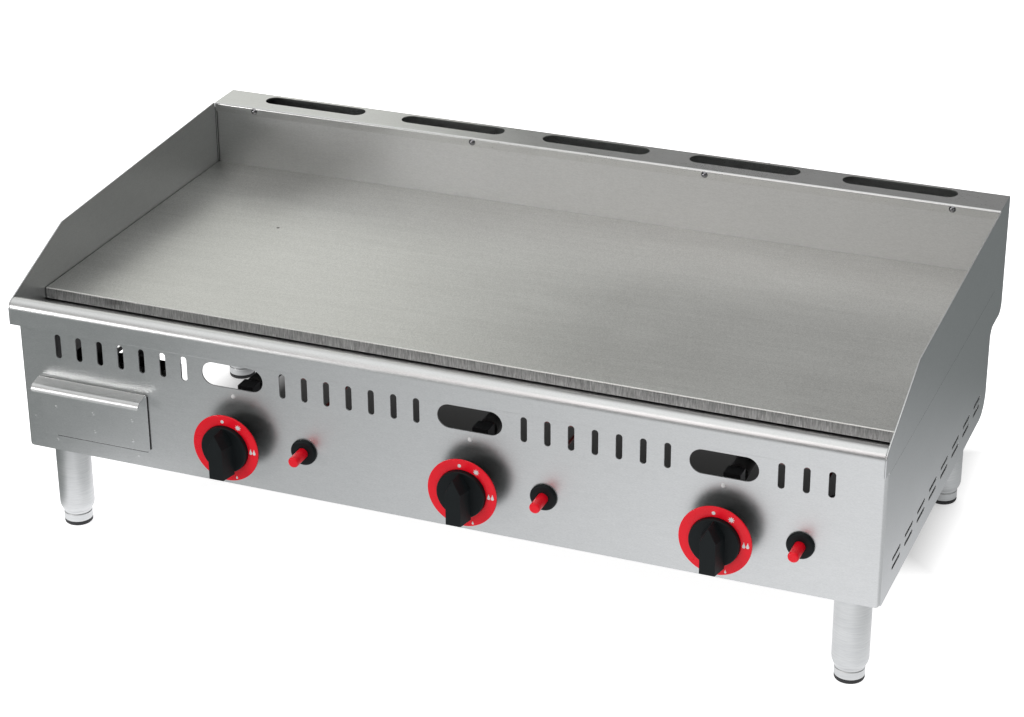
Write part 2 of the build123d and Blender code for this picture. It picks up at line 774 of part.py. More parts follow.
# ================================================================ igniters
with BuildPart() as igniter_bodies:
    bezel_arc = [(bezel_front + back, inset - bezel_radius) for back, inset in bezel_round]
    for x in igniter_x:
        with BuildSketch(axle_plane(x, igniter_z)):
            with BuildLine():
                Polyline((barrel_rear, 0), (barrel_rear, -barrel_radius), (0, -barrel_radius),
                         (0, -bezel_radius), bezel_arc[0])
                ThreePointArc(*bezel_arc)
                Polyline(bezel_arc[2], (bezel_front, -bezel_bore), (bore_rear, -bezel_bore),
                         (bore_rear, 0), (barrel_rear, 0))
            make_face()
        revolve(axis=Axis((x, panel_y, igniter_z), (0, 1, 0)))

with BuildPart() as igniter_nuts:
    for x in igniter_x:
        with BuildSketch(face_plane(nut_rear)):
            with Locations((x, igniter_z)):
                RegularPolygon(nut_radius, 6)
                Circle(barrel_radius, mode=Mode.SUBTRACT)
        extrude(amount=nut_rear - nut_front)


def igniter_button(x):
    with BuildSketch(axle_plane(x, igniter_z)) as turned:
        with BuildLine():
            Polyline((button_tip, 0), (button_tip, button_round - button_radius))
            ThreePointArc((button_tip, button_round - button_radius),
                          (button_tip + button_round * 0.3, button_round * 0.3 - button_radius),
                          (button_tip + button_round, -button_radius))
            Polyline((button_tip + button_round, -button_radius), (button_rear, -button_radius),
                     (button_rear, 0), (button_tip, 0))
        make_face()
    revolve(turned.sketch, axis=Axis((x, panel_y, igniter_z), (0, 1, 0)))


with BuildPart() as igniter_button_left:
    igniter_button(igniter_x[0])

with BuildPart() as igniter_button_centre:
    igniter_button(igniter_x[1])

with BuildPart() as igniter_button_right:
    igniter_button(igniter_x[2])

# ================================================================ gas train
with BuildPart() as gas_manifold:
    with BuildSketch(side_plane(manifold_ends[0])):
        with Locations((pipe_depth, control_z)):
            Circle(pipe_radius)
    extrude(amount=manifold_ends[1] - manifold_ends[0])
    with BuildSketch(side_plane(manifold_bore_ends[0])):
        with Locations((pipe_depth, control_z)):
            Circle(pipe_bore)
    extrude(amount=manifold_bore_ends[1] - manifold_bore_ends[0], mode=Mode.SUBTRACT)
    for x in control_x:
        rod(x, control_z, valve_port[0], valve_rear, pipe_depth, mode=Mode.SUBTRACT)


def inlet_run(radius, end, mode):
    with BuildLine(level_plane(control_z)) as run:
        Line((manifold_ends[1], pipe_depth), (inlet_x - inlet_bend, pipe_depth))
        bend = (inlet_x - inlet_bend, pipe_depth + inlet_bend)
        ThreePointArc((inlet_x - inlet_bend, pipe_depth), arc_point(bend, inlet_bend, -45),
                      (inlet_x, pipe_depth + inlet_bend))
        Line((inlet_x, pipe_depth + inlet_bend), (inlet_x, end))
    with BuildSketch(side_plane(manifold_ends[1])) as bore_section:
        with Locations((pipe_depth, control_z)):
            Circle(radius)
    sweep(bore_section.sketch, path=run.wires()[0], mode=mode)


with BuildPart() as gas_inlet_pipe:
    inlet_run(pipe_radius, inlet_end, Mode.ADD)
    with BuildSketch(side_plane(coupling_ends[0])):
        with Locations((pipe_depth, control_z)):
            Circle(pipe_radius + coupling_wall)
            Circle(pipe_radius, mode=Mode.SUBTRACT)
    extrude(amount=coupling_ends[1] - coupling_ends[0])
    inlet_run(pipe_bore, inlet_end, Mode.SUBTRACT)
    with BuildSketch(face_plane(inlet_end)):
        with Locations((inlet_x, control_z)):
            Circle(pipe_radius + cut)
            Circle(thread_radius, mode=Mode.SUBTRACT)
    extrude(amount=thread_length, mode=Mode.SUBTRACT)

with BuildPart() as inlet_flange:
    with BuildSketch(face_plane(rear_depth + inlet_nut_thickness)):
        with Locations((inlet_x, control_z)):
            RegularPolygon(inlet_nut_radius, 6)
            Circle(pipe_radius, mode=Mode.SUBTRACT)
    extrude(amount=inlet_nut_thickness)

with BuildPart() as orifice_elbows:
    for x in control_x:
        post(x, outlet_depth, outlet_radius, outlet_top, elbow_riser_top)
        block(x - elbow_half, x + elbow_half, *elbow_depths, *elbow_heights)
        rod(x, mixer_z, orifice_radius, elbow_depths[1], orifice_rear)


def burner(x):
    def tubes(throat_radius, bar_radius, shorten, mode):
        rod(x, mixer_z, throat_radius, mixer_front, burner_front, mode=mode)
        with BuildSketch(side_plane(x - burner_half_span)) as cross_section:
            with Locations((burner_front, burner_z)):
                Circle(bar_radius)
        extrude(cross_section.sketch, amount=2 * burner_half_span, mode=mode)
        for side in (-1, 1):
            rod(x + side * burner_half_span, burner_z, bar_radius, burner_front - bar_radius + shorten,
                burner_rear - shorten, mode=mode)
    tubes(mixer_radius, burner_radius, 0, Mode.ADD)
    tubes(mixer_bore, burner_radius - burner_wall, burner_wall, Mode.SUBTRACT)
    with BuildSketch(level_plane(burner_z)) as ports:
        for side in (-1, 1):
            bar_x = x + side * burner_half_span
            with Locations(*[(bar_x, port_first + port_pitch * i) for i in range(ports_per_bar)]):
                Circle(port_radius)
    extrude(ports.sketch, amount=burner_radius + cut, mode=Mode.SUBTRACT)


with BuildPart() as burner_left:
    burner(control_x[0])

with BuildPart() as burner_centre:
    burner(control_x[1])

with BuildPart() as burner_right:
    burner(control_x[2])

with BuildPart() as ignition_electrodes:
    for x in control_x:
        post(x + electrode_offset, electrode_depth, ceramic_radius, *electrode_levels[:2])
        post(x + electrode_offset, electrode_depth, electrode_radius, *electrode_levels[1:])

with BuildPart() as ignition_leads:
    lead_y = panel_y + lead_depth
    tip_y = panel_y + electrode_depth
    lead_start = igniter_z + barrel_radius
    for x_lead, x_control in zip(igniter_x, control_x):
        x_tip = x_control + electrode_offset
        with BuildLine() as lead_path:
            FilletPolyline((x_lead, lead_y, lead_start), (x_lead, lead_y, lead_level),
                           (x_lead, tip_y, lead_level), (x_tip, tip_y, lead_level),
                           (x_tip, tip_y, electrode_levels[0]), radius=lead_bend)
        with BuildSketch(Plane(origin=(x_lead, lead_y, lead_start), z_dir=(0, 0, 1))):
            Circle(lead_radius)
        sweep(path=lead_path.wires()[0])

# ================================================================ labels and export
pieces = {
    "front_panel": front_panel,
    "left_side_panel": left_side_panel,
    "right_side_panel": right_side_panel,
    "rear_panel": rear_panel,
    "flue_back": flue_back,
    "backsplash": backsplash,
    "flue_cap": flue_cap,
    "flue_screws": flue_screws,
    "rear_screws": rear_screws,
    "front_rail": front_rail,
    "grease_trough": grease_trough,
    "grease_chute": grease_chute,
    "griddle_plate": griddle_plate,
    "plate_supports": plate_supports,
    "left_splash_guard": left_splash_guard,
    "right_splash_guard": right_splash_guard,
    "burner_rails": burner_rails,
    "leg_plates": leg_plates,
    "leg_front_left": leg_front_left,
    "leg_front_right": leg_front_right,
    "leg_rear_left": leg_rear_left,
    "leg_rear_right": leg_rear_right,
    "foot_front_left": foot_front_left,
    "foot_front_right": foot_front_right,
    "foot_rear_left": foot_rear_left,
    "foot_rear_right": foot_rear_right,
    "pad_front_left": pad_front_left,
    "pad_front_right": pad_front_right,
    "pad_rear_left": pad_rear_left,
    "pad_rear_right": pad_rear_right,
    "drawer_housing": drawer_housing,
    "drawer_pan": drawer_pan,
    "drawer_front": drawer_front,
    "knob_left": knob_left,
    "knob_centre": knob_centre,
    "knob_right": knob_right,
    "knob_ring_left": knob_ring_left,
    "knob_ring_centre": knob_ring_centre,
    "knob_ring_right": knob_ring_right,
    "spindle_left": spindle_left,
    "spindle_centre": spindle_centre,
    "spindle_right": spindle_right,
    "gas_valve_left": gas_valve_left,
    "gas_valve_centre": gas_valve_centre,
    "gas_valve_right": gas_valve_right,
    "index_dots": index_dots,
    "igniter_bodies": igniter_bodies,
    "igniter_nuts": igniter_nuts,
    "igniter_button_left": igniter_button_left,
    "igniter_button_centre": igniter_button_centre,
    "igniter_button_right": igniter_button_right,
    "gas_manifold": gas_manifold,
    "gas_inlet_pipe": gas_inlet_pipe,
    "inlet_flange": inlet_flange,
    "orifice_elbows": orifice_elbows,
    "burner_left": burner_left,
    "burner_centre": burner_centre,
    "burner_right": burner_right,
    "ignition_electrodes": ignition_electrodes,
    "ignition_leads": ignition_leads,
}
for name, piece in pieces.items():
    piece.part.label = name
    export_step(piece.part, f"parts/{name}.step")
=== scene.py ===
from math import cos, pi, radians, sin

import bmesh
import bpy
from mathutils import Matrix, Vector


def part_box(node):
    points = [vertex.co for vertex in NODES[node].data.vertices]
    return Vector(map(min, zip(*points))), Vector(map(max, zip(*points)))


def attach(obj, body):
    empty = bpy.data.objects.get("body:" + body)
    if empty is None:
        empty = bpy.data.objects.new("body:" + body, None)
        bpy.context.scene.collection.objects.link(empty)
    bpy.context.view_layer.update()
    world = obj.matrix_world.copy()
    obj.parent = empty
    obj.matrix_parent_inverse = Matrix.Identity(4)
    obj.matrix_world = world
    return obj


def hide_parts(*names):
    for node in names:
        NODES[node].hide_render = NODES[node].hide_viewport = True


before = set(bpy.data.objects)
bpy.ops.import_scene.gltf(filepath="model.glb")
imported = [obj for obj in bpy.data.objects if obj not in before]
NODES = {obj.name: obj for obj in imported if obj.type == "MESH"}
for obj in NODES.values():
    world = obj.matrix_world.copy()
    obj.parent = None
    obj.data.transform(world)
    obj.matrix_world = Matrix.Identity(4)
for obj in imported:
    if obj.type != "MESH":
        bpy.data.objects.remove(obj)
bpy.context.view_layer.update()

SIDES = ("left", "centre", "right")
CORNERS = ("front_left", "front_right", "rear_left", "rear_right")
MM = 0.001
BUMP_HEIGHT = 0.2 * MM    # relief of every surface texture
scene = bpy.context.scene


# ---------------------------------------------------------------- node helpers
def add(tree, kind, values=None, **settings):
    """A shader node with its settings and its unlinked socket values."""
    node = tree.nodes.new(kind)
    for key, value in settings.items():
        setattr(node, key, value)
    for socket, value in (values or {}).items():
        node.inputs[socket].default_value = value
    return node


def new_material(name):
    material = bpy.data.materials.new(name)
    material.use_nodes = True
    tree = material.node_tree
    tree.nodes.clear()
    output = add(tree, "ShaderNodeOutputMaterial")
    shader = add(tree, "ShaderNodeBsdfPrincipled")
    tree.links.new(shader.outputs["BSDF"], output.inputs["Surface"])
    return material, tree, shader


def stretched_noise(tree, scale, detail=2.0, rough=0.5, place=(0.0, 0.0, 0.0)):
    """Noise in the object's own metres, with a scale for each axis."""
    coordinates = add(tree, "ShaderNodeTexCoord")
    mapping = add(tree, "ShaderNodeMapping", {"Scale": scale, "Location": place})
    noise = add(tree, "ShaderNodeTexNoise", {"Scale": 1.0, "Detail": detail, "Roughness": rough})
    tree.links.new(coordinates.outputs["Object"], mapping.inputs["Vector"])
    tree.links.new(mapping.outputs["Vector"], noise.inputs["Vector"])
    return noise.outputs["Fac"]


def spread(tree, source, low, high, from_low=0.3, from_high=0.7):
    """Source remapped to a range."""
    remap = add(tree, "ShaderNodeMapRange", {"From Min": from_low, "From Max": from_high,
                                             "To Min": low, "To Max": high})
    tree.links.new(source, remap.inputs["Value"])
    return remap.outputs["Result"]


def combine(tree, operation, first, second):
    node = add(tree, "ShaderNodeMath", operation=operation)
    for index, value in enumerate((first, second)):
        if isinstance(value, (int, float)):
            node.inputs[index].default_value = value
        else:
            tree.links.new(value, node.inputs[index])
    return node.outputs["Value"]


def blend_colors(tree, factor, first, second):
    node = add(tree, "ShaderNodeMix", data_type="RGBA")
    tree.links.new(factor, node.inputs["Factor"])
    for socket, value in (("A", first), ("B", second)):
        target = [s for s in node.inputs if s.name == socket and s.type == "RGBA"][0]
        if isinstance(value, tuple):
            target.default_value = (*value, 1.0)
        else:
            tree.links.new(value, target)
    return [s for s in node.outputs if s.type == "RGBA"][0]


def weighted(tree, *parts):
    """The sum of sources, each with its own share."""
    total = None
    for source, share in parts:
        scaled = combine(tree, "MULTIPLY", source, share)
        total = scaled if total is None else combine(tree, "ADD", total, scaled)
    return total


def add_bump(tree, shader, height, strength):
    bump = add(tree, "ShaderNodeBump", {"Strength": strength, "Distance": BUMP_HEIGHT})
    tree.links.new(height, bump.inputs["Height"])
    tree.links.new(bump.outputs["Normal"], shader.inputs["Normal"])


# ---------------------------------------------------------------- materials
def brushed_steel(name, dark, light, rough, fine, broad, bump):
    """Steel with grain. fine and broad are the noise scales of the grain and the smudges, in waves per metre
    along each axis."""
    material, tree, shader = new_material(name)
    shader.inputs["Metallic"].default_value = 1.0
    grain = stretched_noise(tree, fine, 3.0, 0.65)
    streak = stretched_noise(tree, tuple(s * 0.22 for s in fine), 2.0, 0.5, (3.1, 1.7, 0.4))
    smudge = stretched_noise(tree, broad, 4.0, 0.6, (0.7, 2.3, 5.1))
    mixed = weighted(tree, (grain, 0.8), (streak, 0.2))
    tint = blend_colors(tree, spread(tree, mixed, 0.0, 1.0), dark, light)
    tree.links.new(tint, shader.inputs["Base Color"])
    grain_wear = spread(tree, mixed, -0.05, 0.05)
    smudge_wear = spread(tree, smudge, rough - 0.01, rough + 0.06)
    tree.links.new(combine(tree, "ADD", grain_wear, smudge_wear), shader.inputs["Roughness"])
    add_bump(tree, shader, mixed, bump)
    return material


def ground_plate(name):
    """Ground cooking plate: fine cloudy grain, rubbed patches, a few pits and a sawn front edge."""
    material, tree, shader = new_material(name)
    shader.inputs["Metallic"].default_value = 1.0
    grain = stretched_noise(tree, (900.0, 900.0, 900.0), 2.0, 0.7)
    rub = stretched_noise(tree, (10.0, 160.0, 40.0), 3.0, 0.6)
    cloud = stretched_noise(tree, (5.0, 7.0, 5.0), 4.0, 0.55, (2.0, 0.0, 1.0))
    coordinates = add(tree, "ShaderNodeTexCoord")
    pits = add(tree, "ShaderNodeTexVoronoi", {"Scale": 9.0}, feature="F1")
    tree.links.new(coordinates.outputs["Object"], pits.inputs["Vector"])
    pit = spread(tree, pits.outputs["Distance"], 0.0, 1.0, 0.012, 0.02)
    mixed = weighted(tree, (grain, 0.72), (rub, 0.13), (cloud, 0.15))
    contrast = spread(tree, mixed, 0.0, 1.0, 0.36, 0.64)
    steel = blend_colors(tree, contrast, (0.50, 0.506, 0.485), (0.71, 0.716, 0.69))
    saw = stretched_noise(tree, (700.0, 200.0, 90.0), 3.0, 0.7, (1.0, 4.0, 2.0))
    sawn = blend_colors(tree, spread(tree, saw, 0.0, 1.0), (0.30, 0.30, 0.30), (0.72, 0.72, 0.71))
    facing = add(tree, "ShaderNodeSeparateXYZ")
    tree.links.new(coordinates.outputs["Normal"], facing.inputs["Vector"])
    front_face = spread(tree, facing.outputs["Y"], 1.0, 0.0, -0.95, -0.85)
    steel = blend_colors(tree, front_face, steel, sawn)
    tree.links.new(blend_colors(tree, pit, (0.03, 0.03, 0.03), steel), shader.inputs["Base Color"])
    tree.links.new(combine(tree, "ADD", spread(tree, cloud, 0.36, 0.42), spread(tree, grain, -0.03, 0.05)),
                   shader.inputs["Roughness"])
    add_bump(tree, shader, mixed, 0.10)
    return material


def moulded(name, color, rough, bump=0.08, speckle=0.12, metallic=0.0, shine=0.5):
    """Moulded plastic, paint, rubber or casting with a fine texture."""
    material, tree, shader = new_material(name)
    shader.inputs["Metallic"].default_value = metallic
    shader.inputs["Specular IOR Level"].default_value = shine
    pebble = stretched_noise(tree, (1400.0, 1400.0, 1400.0), 2.0, 0.6)
    cloud = stretched_noise(tree, (60.0, 60.0, 60.0), 3.0, 0.6, (4.0, 1.0, 2.0))
    low = tuple(c * (1.0 - speckle) for c in color)
    high = tuple(min(1.0, c * (1.0 + speckle)) for c in color)
    tree.links.new(blend_colors(tree, spread(tree, cloud, 0.0, 1.0), low, high), shader.inputs["Base Color"])
    pebble_wear = spread(tree, pebble, -0.04, 0.04)
    cloud_wear = spread(tree, cloud, rough - 0.03, rough + 0.04)
    tree.links.new(combine(tree, "ADD", pebble_wear, cloud_wear), shader.inputs["Roughness"])
    add_bump(tree, shader, pebble, bump)
    return material


STEEL_X = brushed_steel("steel_grain_across", (0.58, 0.59, 0.585), (0.70, 0.71, 0.705), 0.33,
                        (420.0, 1600.0, 1600.0), (5.0, 6.0, 9.0), 0.06)
STEEL_Y = brushed_steel("steel_grain_along", (0.54, 0.55, 0.55), (0.66, 0.67, 0.67), 0.35,
                        (1600.0, 420.0, 1600.0), (6.0, 5.0, 9.0), 0.06)
STEEL_CAP = brushed_steel("steel_cap", (0.54, 0.55, 0.54), (0.66, 0.67, 0.66), 0.28,
                          (420.0, 1600.0, 1600.0), (5.0, 6.0, 9.0), 0.03)
STEEL_RING = brushed_steel("steel_grain_turned", (0.54, 0.55, 0.55), (0.70, 0.71, 0.70), 0.38,
                           (60.0, 60.0, 1400.0), (9.0, 9.0, 30.0), 0.06)
ZINC = brushed_steel("zinc_sheet", (0.34, 0.35, 0.36), (0.52, 0.53, 0.54), 0.42,
                     (60.0, 60.0, 60.0), (14.0, 14.0, 14.0), 0.05)
# dark sheet for the inside of the body: painted shade of the closed inside, with some heat stain
SHADED_INSIDE = brushed_steel("heat_stain_and_shade_sheet", (0.06, 0.06, 0.065), (0.16, 0.155, 0.15), 0.5,
                       (90.0, 90.0, 90.0), (12.0, 12.0, 12.0), 0.05)
PLATE = ground_plate("ground_plate")
SCREW = brushed_steel("screw_plating", (0.22, 0.22, 0.23), (0.34, 0.34, 0.35), 0.13, (300.0, 300.0, 300.0),
                      (90.0, 90.0, 90.0), 0.03)
BLACK = moulded("black_moulding", (0.008, 0.011, 0.012), 0.50, shine=0.16)
RED = moulded("red_moulding", (0.96, 0.006, 0.022), 0.30, 0.05, 0.03, shine=0.30)
WHITE = moulded("white_marking", (0.80, 0.80, 0.79), 0.45, 0.04, 0.03)
RUBBER = moulded("pad_rubber", (0.020, 0.020, 0.021), 0.62, 0.2)
BRASS = moulded("valve_brass", (0.62, 0.45, 0.20), 0.30, 0.06, 0.15, metallic=1.0)
PIPE = moulded("pipe_coating", (0.020, 0.020, 0.022), 0.45, 0.15)
IRON = moulded("burner_casting", (0.055, 0.054, 0.053), 0.65, 0.4, 0.3, metallic=0.3)
CERAMIC = moulded("electrode_ceramic", (0.78, 0.76, 0.70), 0.25, 0.03, 0.05)
LEAD = moulded("lead_sleeve", (0.30, 0.05, 0.04), 0.5)

FINISH = {
    STEEL_CAP: ["flue_cap"],
    STEEL_X: ["front_panel", "backsplash", "front_rail", "grease_trough", "drawer_front", "drawer_pan",
              "flue_back"],
    STEEL_Y: ["left_side_panel", "right_side_panel", "left_splash_guard", "right_splash_guard"],
    STEEL_RING: ["leg_" + corner for corner in CORNERS] + ["foot_" + corner for corner in CORNERS],
    ZINC: ["rear_panel", "leg_plates"],
    SHADED_INSIDE: ["grease_chute", "plate_supports", "burner_rails", "drawer_housing"],
    PLATE: ["griddle_plate"],
    SCREW: ["flue_screws", "rear_screws", "igniter_nuts"] + ["spindle_" + side for side in SIDES],
    BLACK: ["igniter_bodies"] + ["knob_" + side for side in SIDES],
    RED: [part + side for part in ("knob_ring_", "igniter_button_") for side in SIDES],
    WHITE: ["index_dots"],
    RUBBER: ["pad_" + corner for corner in CORNERS],
    BRASS: ["gas_valve_" + side for side in SIDES],
    PIPE: ["orifice_elbows", "gas_manifold", "gas_inlet_pipe", "inlet_flange"],
    IRON: ["burner_" + side for side in SIDES],
    CERAMIC: ["ignition_electrodes"],
    LEAD: ["ignition_leads"],
}
for material, names in FINISH.items():
    for name in names:
        NODES[name].data.materials.clear()
        NODES[name].data.materials.append(material)


# ---------------------------------------------------------------- pieces
FLAT_FACE_WEIGHT = 90          # how far large flat faces rule the shading of their rounded edges
CAD_SEAM = 0.003 * MM          # vertices this close are one
FLAT_ANGLE = radians(0.6)      # faces that meet at less are one flat face
STRIP_EDGE = 0.12 * MM


def finish_piece(name, shape, body, material, replaced=(), smooth=True, hidden_side=None):
    """Turns an edited shape into a piece that rides on a CAD body. hidden_side picks the inner faces, which
    get the dark inside sheet of painted shade.
    """
    bmesh.ops.recalc_face_normals(shape, faces=shape.faces)
    for face in shape.faces:
        face.smooth = smooth
        if hidden_side and hidden_side(face):
            face.material_index = 1
    mesh = bpy.data.meshes.new(name)
    shape.to_mesh(mesh)
    shape.free()
    mesh.materials.append(material)
    if hidden_side:
        mesh.materials.append(SHADED_INSIDE)
    piece = bpy.data.objects.new(name, mesh)
    scene.collection.objects.link(piece)
    if smooth:
        shading = piece.modifiers.new("shading", "WEIGHTED_NORMAL")
        shading.keep_sharp = True
        shading.weight = FLAT_FACE_WEIGHT
    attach(piece, body)
    if replaced:
        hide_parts(*replaced)


def cad_shape(name):
    """A CAD piece's mesh with its seams joined and its flat faces merged."""
    shape = bmesh.new()
    shape.from_mesh(NODES[name].data)
    bmesh.ops.remove_doubles(shape, verts=shape.verts, dist=CAD_SEAM)
    bmesh.ops.dissolve_limit(shape, angle_limit=FLAT_ANGLE, verts=shape.verts, edges=shape.edges)
    return shape


def softened(name, body, width, segments=2, limit=32.0, hidden_side=None):
    """Stands for a CAD piece, with its hard edges rounded to a width in mm."""
    shape = cad_shape(name)
    hard = [edge for edge in shape.edges if edge.is_manifold and edge.calc_face_angle(0.0) > radians(limit)]
    bmesh.ops.bevel(shape, geom=hard, offset=width * MM, segments=segments, profile=0.5, affect="EDGES",
                    clamp_overlap=True)
    finish_piece(name + "_soft", shape, body, NODES[name].data.materials[0], [name],
                 hidden_side=hidden_side)


def raised_outline(shape, points, depth, height):
    """A low raised figure on a front-facing surface. points are (x, z) in metres."""
    face = shape.faces.new([shape.verts.new((x, depth, z)) for x, z in points])
    raised = bmesh.ops.extrude_face_region(shape, geom=[face])["geom"]
    moved = [item for item in raised if isinstance(item, bmesh.types.BMVert)]
    bmesh.ops.translate(shape, verts=moved, vec=(0.0, -height, 0.0))


def circle_points(x, z, radius, count=20):
    turns = [2 * pi * i / count for i in range(count)]
    return [(x + radius * cos(turn), z + radius * sin(turn)) for turn in turns]


def star_points(x, z, outer, inner, spikes=8):
    points = []
    for i in range(2 * spikes):
        reach = outer if i % 2 == 0 else inner
        points.append((x + reach * sin(pi * i / spikes), z + reach * cos(pi * i / spikes)))
    return points


def drop_points(x, z, radius, height):
    """Round at the bottom and pointed at the top."""
    arc = [(x + radius * cos(radians(a)), z + radius * sin(radians(a))) for a in range(160, 381, 20)]
    neck, shoulder = radius * 0.35, z + height * 0.62
    return arc + [(x + neck, shoulder), (x, z + height), (x - neck, shoulder)]


def low_dome(shape, x, z, depth, radius, height, rings=4, sectors=20):
    """A shallow round bump on a front-facing surface."""
    tip = shape.verts.new((x, depth - height, z))
    previous = None
    for ring in range(1, rings + 1):
        reach = radius * ring / rings
        rise = height * cos(0.5 * pi * ring / rings)
        circle = [shape.verts.new((px, depth - rise, pz)) for px, pz in circle_points(x, z, reach, sectors)]
        for i in range(sectors):
            j = (i + 1) % sectors
            if previous is None:
                shape.faces.new((tip, circle[i], circle[j]))
            else:
                shape.faces.new((previous[i], circle[i], circle[j], previous[j]))
        previous = circle


def strips(name, boxes, body):
    """Thin dark strips of pad rubber, which stand for shadow lines: painted shade. boxes are lowest and
    highest corners.
    """
    shape = bmesh.new()
    for low, high in boxes:
        verts = bmesh.ops.create_cube(shape, size=1.0)["verts"]
        bmesh.ops.scale(shape, verts=verts, vec=[top - bottom for bottom, top in zip(low, high)])
        bmesh.ops.translate(shape, verts=verts, vec=[(bottom + top) / 2 for bottom, top in zip(low, high)])
    bmesh.ops.bevel(shape, geom=list(shape.edges), offset=STRIP_EDGE, segments=1, affect="EDGES")
    finish_piece(name, shape, body, RUBBER)


# the faces that look into the inside of the body, which get the dark inside sheet: painted shade, with some
# heat stain
HIDDEN_SIDES = {
    "front_panel": lambda face: face.normal.y > 0.5,
    "left_side_panel": lambda face: face.normal.x > 0.5,
    "right_side_panel": lambda face: face.normal.x < -0.5,
    "griddle_plate": lambda face: face.normal.z < -0.5,
}
# widths of the rounded edges, in mm
SHEETS = {"front_panel": 0.45, "left_side_panel": 0.4, "right_side_panel": 0.4, "front_rail": 0.5,
          "left_splash_guard": 0.3, "right_splash_guard": 0.3, "flue_cap": 0.5, "griddle_plate": 0.5,
          "backsplash": 0.4}
DRAWER_EDGE = 0.45
IGNITER_EDGE = 0.35
LEG_EDGE = 0.3
BUTTON_EDGE = 0.3
KNOB_EDGE = 1.1
RING_EDGE = 0.7
ROUND_SEGMENTS = 3
# places of the dial marks: degrees clockwise from the top, and distance from the centre in mm
DIAL_MARKS = {"off": (-4.0, 29.6), "full": (31.0, 29.8), "high_flame": (87.5, 30.2),
              "low_flame": (160.0, 32.6)}
MARK_SINK = 0.05 * MM
MARK_HEIGHT = 0.25 * MM
DOT_RADIUS = 1.8 * MM
STAR_TIP, STAR_NOTCH = 3.5 * MM, 1.7 * MM
FLAME_RADIUS, FLAME_HEIGHT = 1.6 * MM, 4.8 * MM
LOW_FLAME_RADIUS, LOW_FLAME_HEIGHT = 1.1 * MM, 2.8 * MM
FLAME_APART = 1.9 * MM            # from the mark's place to each of the two high flames
FLAME_BELOW, LOW_FLAME_BELOW = 1.6 * MM, 0.8 * MM     # down to the middle of a flame's round end

for name, width in SHEETS.items():
    softened(name, "chassis", width,
             hidden_side=HIDDEN_SIDES.get(name))
softened("drawer_front", "grease_drawer", DRAWER_EDGE)
softened("igniter_bodies", "chassis", IGNITER_EDGE)
for corner in CORNERS:
    softened("leg_" + corner, "chassis", LEG_EDGE)
    softened("foot_" + corner, "foot_body_" + corner, LEG_EDGE)
for side in SIDES:
    softened("knob_" + side, "knob_body_" + side, KNOB_EDGE, ROUND_SEGMENTS)
    softened("knob_ring_" + side, "knob_body_" + side, RING_EDGE, ROUND_SEGMENTS)
    softened("igniter_button_" + side, "igniter_push_" + side, BUTTON_EDGE)
    ring_low, ring_high = (Vector(corner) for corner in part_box("knob_ring_" + side))
    centre_x, centre_z = (ring_low.x + ring_high.x) / 2, (ring_low.z + ring_high.z) / 2
    place = {mark: (centre_x + reach * MM * sin(radians(turn)), centre_z + reach * MM * cos(radians(turn)))
             for mark, (turn, reach) in DIAL_MARKS.items()}
    (flame_x, flame_z), (low_x, low_z) = place["high_flame"], place["low_flame"]
    marks = bmesh.new()
    figures = [circle_points(*place["off"], DOT_RADIUS),
               star_points(*place["full"], STAR_TIP, STAR_NOTCH),
               drop_points(flame_x - FLAME_APART, flame_z - FLAME_BELOW, FLAME_RADIUS, FLAME_HEIGHT),
               drop_points(flame_x + FLAME_APART, flame_z - FLAME_BELOW, FLAME_RADIUS, FLAME_HEIGHT),
               drop_points(low_x, low_z - LOW_FLAME_BELOW, LOW_FLAME_RADIUS, LOW_FLAME_HEIGHT)]
    for points in figures:
        raised_outline(marks, points, ring_low.y + MARK_SINK, MARK_HEIGHT)
    finish_piece("dial_marks_" + side, marks, "knob_body_" + side, WHITE, smooth=False)

BODY_SHEET = 1.5 * MM
drawer_low, drawer_high = (Vector(corner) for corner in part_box("drawer_front"))
panel_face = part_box("front_panel")[0][1]
drawer_skin = drawer_high.y - BODY_SHEET
WELD_RADIUS = 1.7 * MM
WELD_HEIGHT = 0.26 * MM
# name, body, depth of the surface, and the (x, z) of each spot in mm
WELDS = (
    ("drawer_welds", "grease_drawer", drawer_skin,
     [(-419.8, 151.4), (-375.9, 151.3), (-330.1, 151.7), (-375.3, 130.6), (-330.7, 128.5)]),
    ("panel_welds", "chassis", panel_face, [(-446.6, 134.8), (-422.3, 112.4), (-326.2, 111.9)]),
)
for name, body, depth, spots in WELDS:
    welds = bmesh.new()
    for x, z in spots:
        low_dome(welds, x * MM, z * MM, depth, WELD_RADIUS, WELD_HEIGHT)
    finish_piece(name, welds, body, STEEL_X)

# thin dark strips along the lower and the right edge of the drawer front: painted shade for the shadow lines
# under and beside it
STRIP_WIDTH = 1.0 * MM
SIDE_STRIP_WIDTH = 0.7 * MM
STRIP_INSET = 16.0 * MM
CORNER_GAP = 3.0 * MM
STRIP_FRONT, STRIP_BACK = 1.2 * MM, 0.2 * MM      # from the panel's face
front, back = panel_face - STRIP_FRONT, panel_face - STRIP_BACK
strips("drawer_shade_strips",
       [((drawer_low.x + STRIP_INSET, front, drawer_low.z - STRIP_WIDTH),
         (drawer_high.x - CORNER_GAP, back, drawer_low.z)),
        ((drawer_high.x, front, drawer_low.z + CORNER_GAP),
         (drawer_high.x + SIDE_STRIP_WIDTH, back, drawer_high.z - CORNER_GAP))],
       "grease_drawer")
